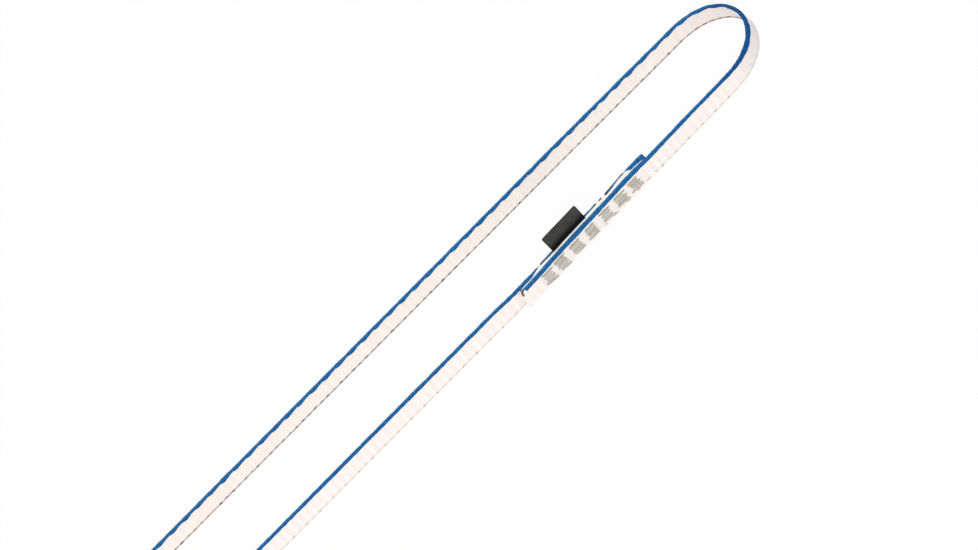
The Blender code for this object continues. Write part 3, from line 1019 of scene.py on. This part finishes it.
# %% The folded ribbon
label_ribbon, column, row = new_grid("label_ribbon", LABEL_COLUMNS, LABEL_ROWS)
share = CLOSER_AT_SIDES + (1 - 2 * CLOSER_AT_SIDES) * column / LABEL_COLUMNS
share = 0.5 - 0.5 * np.cos(pi * share) / cos(pi * CLOSER_AT_SIDES)
across, height = (values[row] for values in folded())
into_corner = np.clip(CORNER - np.minimum(share, 1 - share) * LABEL_LENGTH, 0, None)
lowered = CORNER - np.sqrt(np.clip(CORNER ** 2 - into_corner ** 2, 0, None))
rise = np.clip(above_tape(height), 0, 1)
height = height - lowered * rise ** 2
across += LABEL_LEAN * rise ** 1.6 + LABEL_WAVE * np.sin(2 * pi * (0.8 * share + 0.1)) * rise
flat = np.column_stack((LABEL_FROM + share * LABEL_LENGTH - LAP_LENGTH / 2, across, height))
mesh = label_ribbon.data
put(with_the_plies(flat @ np.array(lap.to_3x3()).T + np.array(lap.translation)), "co", mesh.vertices)
mesh.uv_layers[0].name = PATTERN_MAP
pattern = np.column_stack((share * LABEL_LENGTH, height))
put(pattern[corner_vertices(mesh)], "uv", mesh.uv_layers[0].data)
thickness = label_ribbon.modifiers.new("thickness", "SOLIDIFY")
thickness.thickness, thickness.offset = LEAF, 0
bpy.ops.object.modifier_apply(modifier=thickness.name)
turn_outwards()
show_size(label_ribbon)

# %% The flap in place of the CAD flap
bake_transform(label_ribbon)
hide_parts("label_flap")

# %% Sewn-in tail
TAIL_FOOT, TAIL_TOP = 0.003, 0.0109
TAIL_THICKNESS = 0.0009
TAIL_EDGE = LEAF * 0.6

everything_off()
bpy.ops.mesh.primitive_cube_add(size=1)
tail = bpy.context.object
tail.name = tail.data.name = "label_tail"
middle = Vector(((LABEL_FROM + LABEL_TO - LAP_LENGTH) / 2, 0, (TAIL_FOOT + TAIL_TOP) / 2))
size = Matrix.Diagonal((LABEL_LENGTH, TAIL_THICKNESS, TAIL_TOP - TAIL_FOOT, 1))
tail.data.transform(lap @ Matrix.Translation(middle) @ size)
put(with_the_plies(flat_points(tail)), "co", tail.data.vertices)
select_mesh()
bpy.ops.mesh.bevel(offset=TAIL_EDGE, segments=2)
turn_outwards()
settle(tail, "label_white", "label_sewn_tail")

# %% [markdown]
# ## How a finish is written
# A material is a small sum: a height or a colour worked out for each point of the skin. Sums read
# best as Python expressions, so one small class wraps a socket and turns + - * / into Math nodes.
# Every other node comes from one method that takes the node's type, its settings, and what its
# sockets get. A number that is the same everywhere goes straight onto the shader.

# %% Sums on sockets
class Value:
    """A socket of a node tree that can stand in a sum."""

    def __init__(self, tree, socket):
        self.tree, self.socket = tree, socket

    def maths(self, operation, *others):
        """A Math node on this value and the others."""
        return self.tree.node("Math", {"operation": operation}, dict(enumerate((self, *others))))

    def __rsub__(self, other):
        return self.tree.node("Math", {"operation": "SUBTRACT"}, {0: other, 1: self})

    __add__ = __radd__ = lambda self, other: self.maths("ADD", other)
    __mul__ = __rmul__ = lambda self, other: self.maths("MULTIPLY", other)
    __sub__ = lambda self, other: self.maths("SUBTRACT", other)
    __truediv__ = lambda self, other: self.maths("DIVIDE", other)
    __pow__ = lambda self, other: self.maths("POWER", other)
    abs = lambda self: self.maths("ABSOLUTE")
    sine = lambda self: self.maths("SINE")
    floor = lambda self: self.maths("FLOOR")
    fraction = lambda self: self.maths("FRACT")

    def between(self, low, high):
        """0 at low and 1 at high, smoothly and no further."""
        return self.tree.node("MapRange", {"interpolation_type": "SMOOTHSTEP"}, {0: self, 1: low, 2: high})

    def window(self, start, full, fading, end):
        """1 from full to fading, and 0 outside start and end."""
        return self.between(start, full) * self.between(end, fading)


# %% Paint and trees
def paint(red, green, blue):
    """A colour as a picture shows it, 0 to 255, for a shader, which works in linear light."""
    shown = np.array((red, green, blue)) / 255
    linear = np.where(shown <= 0.04045, shown / 12.92, ((shown + 0.055) / 1.055) ** 2.4)
    return (*(float(value) for value in linear), 1.0)


class Tree:
    """A node tree in the making."""

    def __init__(self, tree):
        self.tree = tree

    def feed(self, socket, value):
        """Links a value or writes a constant."""
        if isinstance(value, Value):
            self.tree.links.new(value.socket, socket)
        else:
            socket.default_value = value

    def node(self, kind, settings=None, sockets=None, output=0):
        """Any node: its type, its settings, what its sockets get and the output that is used."""
        node = self.tree.nodes.new("ShaderNode" + kind)
        for name, value in (settings or {}).items():
            setattr(node, name, value)
        for key, value in (sockets or {}).items():
            self.feed(node.inputs[key], value)
        return Value(self, node.outputs[output])


print("mid grey in linear light:", round(paint(128, 128, 128)[0], 3))

# %% Finishes
class Finish(Tree):
    """A material in the making. A plain colour is given as paint takes it."""

    def __init__(self, name, **shader):
        self.material = bpy.data.materials.new(name)
        self.material.use_nodes = True
        super().__init__(self.material.node_tree)
        self.shader = self.tree.nodes["Principled BSDF"]
        for socket, value in shader.items():
            self.set(socket.replace("_", " ").title().replace("Ior", "IOR"), value)

    def set(self, socket, value):
        """A number, colour or value for a socket of the shader."""
        self.feed(self.shader.inputs[socket], value)

    def pattern(self):
        """The flat map in metres, as (along, girth)."""
        place = self.node("UVMap", {"uv_map": PATTERN_MAP})
        return (self.node("SeparateXYZ", None, {0: place}, output=axis) for axis in (0, 1))

    def shade(self):
        """The number that a copied piece carries."""
        return self.node("Attribute", {"attribute_name": "shade"}, output=2)

    def noise(self, scale, detail=2.0, vector=None):
        """A cloud whose patches are about 1 / scale metres wide."""
        vector = vector or self.node("TexCoord", output=3)
        return self.node("TexNoise", None, {"Vector": vector, "Scale": scale, "Detail": detail})

    def stretched_noise(self, along, girth, detail):
        """A cloud over the flat map, drawn out as its two numbers are."""
        return self.noise(1.0, detail, self.node("CombineXYZ", None, {0: along, 1: girth, 2: 0.0}))

    def mixed(self, share, first, second):
        """A colour between two."""
        first, second = (paint(*side) if isinstance(side, tuple) else side for side in (first, second))
        return self.node("Mix", {"data_type": "RGBA"}, {0: share, 6: first, 7: second}, output=2)

    def colour(self, share, first, second):
        """A colour between two, into Base Color."""
        self.set("Base Color", self.mixed(share, first, second))

    def bump(self, height, distance, strength=0.5):
        """A Bump node on a height of 0 to 1, worth a distance in metres, into Normal."""
        self.set("Normal", self.node("Bump", None, {"Strength": strength, "Distance": distance,
                                                    "Height": height}))

    def on(self, *pieces):
        """Puts the finish on pieces."""
        for piece in pieces:
            piece.data.materials.clear()
            piece.data.materials.append(self.material)
        print(self.material.name, "on pieces:", len(pieces), "nodes:", len(self.tree.nodes))


# %% [markdown]
# ## The woven ground's finish
# The ground is undyed high-strength yarn: white with a warm cast, waxy rather than shiny. Each yarn
# shows as a short float, like a grain of rice, and the next column of floats is half a float
# further on. The height is the product of two arches, one across the float and one along it. The
# same sum paints shade into the seams between floats and into the weft's valleys. Rungs and bands
# across the tape keep step with the repeats, and a cloud adds the faint unevenness that every woven
# tape has. Painted shade makes the cloth greyer round the stitches and darker in the bend, and
# painted light makes it whitest along the covered ply's top, where the blue has drawn aside. Each
# such place is a window on the flat map.

# %% Places and colours of the ground
YARN_WIDTH = HALF_GIRTH / 14
FLOAT_LENGTH = REPEAT / 4
RUNG_SHIFT = 0.085
LAP_ALONG = in_step((BACK_LAP, BACK_LAP + 0.001)).tolist()
SEWN_ALONG = in_step(np.add(FRONT_LAP, (0.0085, 0.0115, 0.0745, 0.0775))).tolist()
SEWN_GIRTHS = [girth_at(height) for height in (0.0085, 0.0079, 0.0018, 0.0012)]
LIT_STRIP_GIRTHS = (-0.0012, -0.0008, 0.0018, 0.0024)
BEND_SHADE_ALONG = in_step((0.132, 0.150, 0.193, 0.213)).tolist()
TOP_FADE = 0.0005
CREAM, RUNG_CREAM = (251, 251, 248), (247, 238, 233)
INNER_CREAM, INNER_BAND = (255, 244, 238), (255, 251, 243)
SEAM_SHADE_TONE = (246, 232, 223)
BEND_SHADE_TONE = (233, 220, 219)
CREASE_SHADE_TONE = (239, 235, 228)
PAINTED_LIGHT_WHITE = (255, 254, 248)
FLOAT_RELIEF = 0.00012
print("yarn and float, mm:", round(YARN_WIDTH * 1000, 2), "x", round(FLOAT_LENGTH * 1000, 2))

# %% Woven ground
finish = Finish("woven_ground", roughness=0.55, specular_ior_level=0.35)
along, girth = finish.pattern()
columns = girth / YARN_WIDTH
odd = (columns.floor() / 2).fraction()
floats = (along / FLOAT_LENGTH + odd).fraction()
across = 1 - ((columns.fraction() * 2 - 1).abs() ** 2.5)
lengthwise = 1 - ((floats * 2 - 1).abs() ** 4)
cushion = across * lengthwise
fibres = finish.stretched_noise(along * 400, girth * 5000, 3.0)
finish.bump(cushion * 0.8 + fibres * 0.35, FLOAT_RELIEF, 0.7)
cloudy = finish.noise(180.0).between(0.3, 0.7)
bands = finish.stretched_noise(along * (3 / REPEAT), girth * 60, 1.0).between(0.38, 0.62)
# painted shade: the bend turns its faces away from the light, so it is painted darker and its rungs
# fainter
bend_shade = along.window(*BEND_SHADE_ALONG)
rungs = (along * (4 * pi / REPEAT) + (pi / 2 - 4 * pi * RUNG_SHIFT)).sine() * 0.42 + 0.42
outer = finish.mixed((rungs + bands * 0.3) * (1 - bend_shade * 0.5), CREAM, RUNG_CREAM)
inner = finish.mixed(bands, INNER_CREAM, INNER_BAND)
tone = finish.mixed(girth.between(-TOP_FADE, TOP_FADE), inner, outer)
valley = ((along * (2 * pi / REPEAT) + pi / 2).sine().abs() ** 8) * cloudy
# painted shade: the seams between floats and the weft's valleys take the darker seam shade tone
seams = cushion.between(0.0, 0.7) * (1 - valley * 0.5)
woven = finish.mixed(bend_shade * 0.45, finish.mixed(seams, SEAM_SHADE_TONE, tone), BEND_SHADE_TONE)
# painted shade: round the bar tacks the cloth is painted greyer for the shade in its creases
crease_shade = girth.window(*SEWN_GIRTHS) * along.window(*SEWN_ALONG) * (cloudy * 0.4 + 0.6)
# painted light: the covered ply's top, deep in the groove between the plies, is painted whiter than the
# cream
lit_strip = girth.window(*LIT_STRIP_GIRTHS) * along.between(*LAP_ALONG)
finish.colour(lit_strip, finish.mixed(crease_shade, woven, CREASE_SHADE_TONE), PAINTED_LIGHT_WHITE)
finish.on(webbing)

# %% [markdown]
# ## The blue edge's finish
# The edge yarns are dyed polyester, a deep blue. They wrap the edge at a slant: a sine of the
# distance along plus the girth draws the slanted ridges, and the grooves between them are painted
# darker, as painted shade. The crest is painted lighter, as a painted highlight, and the bend deeper,
# as painted shade. Where the band is thin, it is painted dark grey in patches.

# %% Blue yarns
THIN_ALONG = in_step(np.add(BACK_LAP, (
    THIN_PART[0], THIN_PART[0] + 0.002, THIN_PART[1] - 0.002, THIN_PART[1]))).tolist()
BLUE_BEND_SHADE_ALONG = in_step((0.120, 0.142, 0.182, 0.196)).tolist()
HIGHLIGHT_GIRTHS = (-0.0006, -0.0002, 0.0, 0.0005)
BLUE_TONES = ((12, 56, 104), (25, 121, 190))
CREST_HIGHLIGHT = (90, 160, 225)
BEND_SHADE_BLUE = (0, 38, 116)
THIN_BAND_GREY = (58, 62, 70)
STRAND_WAVES = (9000, 16000)
YARN_RELIEF = 0.00006

finish = Finish("blue_yarns", roughness=0.6, specular_ior_level=0.08)
along, girth = finish.pattern()
cloud = finish.noise(500.0, 3.0)
slant = along * (8 * pi / REPEAT) + girth * YARN_SLANT + cloud * 9
ridge = slant.sine() * 0.5 + 0.5
strands = (along * STRAND_WAVES[0] + girth * STRAND_WAVES[1]).sine() * 0.5 + 0.5
patches = finish.noise(900.0)
# painted shade: the grooves between the slanted ridges are painted darker; the patches are random tone
light = (ridge * 0.25 + patches * 0.75 + strands * 0.1 - 0.05).between(0.0, 1.0)
tone = finish.mixed(light, *BLUE_TONES)
# painted highlight: the crest of the edge is painted lighter
lit = finish.mixed(girth.window(*HIGHLIGHT_GIRTHS) * 0.2, tone, CREST_HIGHLIGHT)
# painted shade: the blue is painted deeper round the bend
shaded = finish.mixed(along.window(*BLUE_BEND_SHADE_ALONG) * 0.4, lit, BEND_SHADE_BLUE)
# where the band is thin it is painted dark grey in patches
sparse = along.window(*THIN_ALONG) * patches.between(0.75, 0.35) * 0.8
finish.colour(sparse, shaded, THIN_BAND_GREY)
finish.bump(ridge * 0.6 + strands * 0.4, YARN_RELIEF, 0.6)
finish.on(blue_edge)

# %% [markdown]
# ## Threads, melt and label
# The foot thread is a dark brown multifilament, paler where only a little of it shows. The tack
# thread is a grey-olive bonded thread, which is twisted: a slanted sine again, this time round each
# row, whose grooves are painted a little darker, as painted shade. The melt is hard and shiny. The
# label is a fine ribbon, white where it is sewn in, then black; higher up it is painted charcoal, as
# painted light where it leans back to face up, with the ribs of its weave; the flap stays bare.

# %% Foot thread
FOOT_TONES = ((78, 70, 66), (172, 157, 150))
FAINT_TONES = ((132, 108, 92), (218, 206, 197))
FOOT_RELIEF = 0.00004

finish = Finish("foot_yarn", roughness=0.7, specular_ior_level=0.25)
cloud = finish.noise(700.0, 3.0).between(0.35, 0.75)
shade = finish.shade()
faint = finish.mixed(shade - 1, *FAINT_TONES)
finish.colour(shade, finish.mixed(cloud, *FOOT_TONES), faint)
finish.bump(finish.noise(3000.0), FOOT_RELIEF)
finish.on(foot_thread)

# %% Melted yarn
MELT_RELIEF = 0.0001
MELTS = (("navy_melt", (6, 16, 36), (8, 52, 88), 0.3, front_bead),
         ("blue_melt", (6, 34, 76), (10, 84, 150), 0.35, back_bead),
         ("clear_melt", (246, 245, 243), (255, 255, 255), 0.2, clear_drop))

for name, dark, light, roughness, piece in MELTS:
    finish = Finish(name, roughness=roughness, specular_ior_level=0.6)
    cloud = finish.noise(900.0)
    finish.colour(cloud.between(0.3, 0.7), dark, light)
    finish.bump(cloud, MELT_RELIEF)
    finish.on(piece)

# %% Tack thread
TACK_TONES = ((142, 137, 126), (205, 201, 190))
TWIST_WAVES = 9000
TWIST_RELIEF = 0.00008

finish = Finish("tack_yarn", roughness=0.5, specular_ior_level=0.4, sheen_weight=0.1)
along, round_it = finish.pattern()
twist = (along * TWIST_WAVES + round_it * (2 * pi / THREAD_ROUND)).sine() * 0.5 + 0.5
# painted shade: the row's shade number, a cloud and the twist's darker grooves set how light the thread is
# painted
light = (finish.shade() * 0.55 + finish.noise(600.0) * 0.35 + twist * 0.15).between(0.0, 0.95)
finish.colour(light, *TACK_TONES)
finish.bump(twist, TWIST_RELIEF, 0.6)
finish.on(*tack_threads)

# %% Label ribbon
LABEL_WHITE_TO = 0.0116
LABEL_BLACK_TO = 0.0147
BLACK_FADE = (LABEL_BLACK_TO - 0.0015, LABEL_BLACK_TO + 0.002)
WHITE_FRAY = 0.0003
WHITE_EDGE = 0.00008
RIB_PITCH = 0.00075
RIBBON_ROW = 0.0004
LIT_CHARCOALS = ((14, 14, 14), (77, 76, 75))
BLACKS = ((0, 0, 0), (10, 10, 10))
RIBBON_WHITE = (255, 252, 242)
RIBBON_RELIEF = 0.00003

finish = Finish("ribbon", roughness=0.7, specular_ior_level=0.12)
along, height = finish.pattern()
ribs = (along * (2 * pi / RIB_PITCH)).sine() * 0.5 + 0.5
rows = (height * (2 * pi / RIBBON_ROW)).sine() * 0.5 + 0.5
cloud = finish.noise(350.0, 3.0)
# painted light: the upper part leans back and faces up, so it is painted charcoal instead of black
lit_charcoal = finish.mixed(ribs * 0.3 + cloud * 0.8, *LIT_CHARCOALS)
black = finish.mixed(cloud, *BLACKS)
body = finish.mixed(height.between(*BLACK_FADE), black, lit_charcoal)
frayed = height + (cloud - 0.5) * WHITE_FRAY
past_white = frayed.between(LABEL_WHITE_TO - WHITE_EDGE, LABEL_WHITE_TO + WHITE_EDGE)
finish.colour(past_white, RIBBON_WHITE, body)
finish.bump(ribs * 0.6 + rows * 0.4, RIBBON_RELIEF)
finish.on(label_ribbon)

# %% Plain ribbon of the tail
TAIL_TONES = ((252, 248, 238), (255, 253, 244))
TAIL_RELIEF = 0.00004

finish = Finish("plain_ribbon", roughness=0.65, specular_ior_level=0.3)
finish.colour(finish.noise(900.0), *TAIL_TONES)
finish.bump(finish.noise(6000.0, 1.0), TAIL_RELIEF)
finish.on(tail)

# %% [markdown]
# ## Floor and light
# The photograph is a cut-out on white. A big white floor keeps the object standing on something,
# and is shown brighter to the camera than it is lit, so that it turns white and only the softest
# shadow stays. The light is a wide soft box in front and above, with an even white sky: the faces
# towards the camera come out as their colours are written, and the ones turned away a little darker.

# %% Floor
FLOOR_SIZE = 30
FLOOR_SHOWN = 0.93
WHITE = paint(255, 255, 255)


def seen_directly(tree):
    """1 for camera, mirror and glass rays, 0 for the rays that carry light."""
    rays = [tree.node("LightPath", output=output) for output in
            ("Is Camera Ray", "Is Glossy Ray", "Is Transmission Ray")]
    return rays[0].maths("MAXIMUM", rays[1]).maths("MAXIMUM", rays[2])


everything_off()
bpy.ops.mesh.primitive_plane_add(size=FLOOR_SIZE)
floor = bpy.context.object
floor.name = "floor"
finish = Finish("floor_white", base_color=WHITE, roughness=0.9, specular_ior_level=0.0)
glow = finish.node("Emission", None, {"Color": WHITE, "Strength": 1.0})
lit = Value(finish, finish.shader.outputs[0])
shown = finish.node("MixShader", None, {0: seen_directly(finish) * FLOOR_SHOWN, 1: lit, 2: glow})
finish.feed(finish.tree.nodes["Material Output"].inputs["Surface"], shown)
finish.on(floor)

# %% Sky and lamp
SKY = 0.72
KEY_POWER = 24
KEY_AT = Vector((-0.5, -1.9, 1.7))
KEY_SIZE = 1.6

world = bpy.data.worlds.new("sky")
bpy.context.scene.world = world
world.use_nodes = True
sky = Tree(world.node_tree)
background = world.node_tree.nodes["Background"]
sky.feed(background.inputs["Color"], (1, 1, 1, 1))
sky.feed(background.inputs["Strength"], seen_directly(sky) * (1 - SKY) + SKY)
bpy.ops.object.light_add(type="AREA", location=KEY_AT)
lamp = bpy.context.object
lamp.name = "key"
lamp.data.energy, lamp.data.size = KEY_POWER, KEY_SIZE
lamp.rotation_euler = (CAMERA_TARGET - KEY_AT).to_track_quat("-Z", "Y").to_euler()
bpy.context.scene.view_settings.view_transform = "Standard"
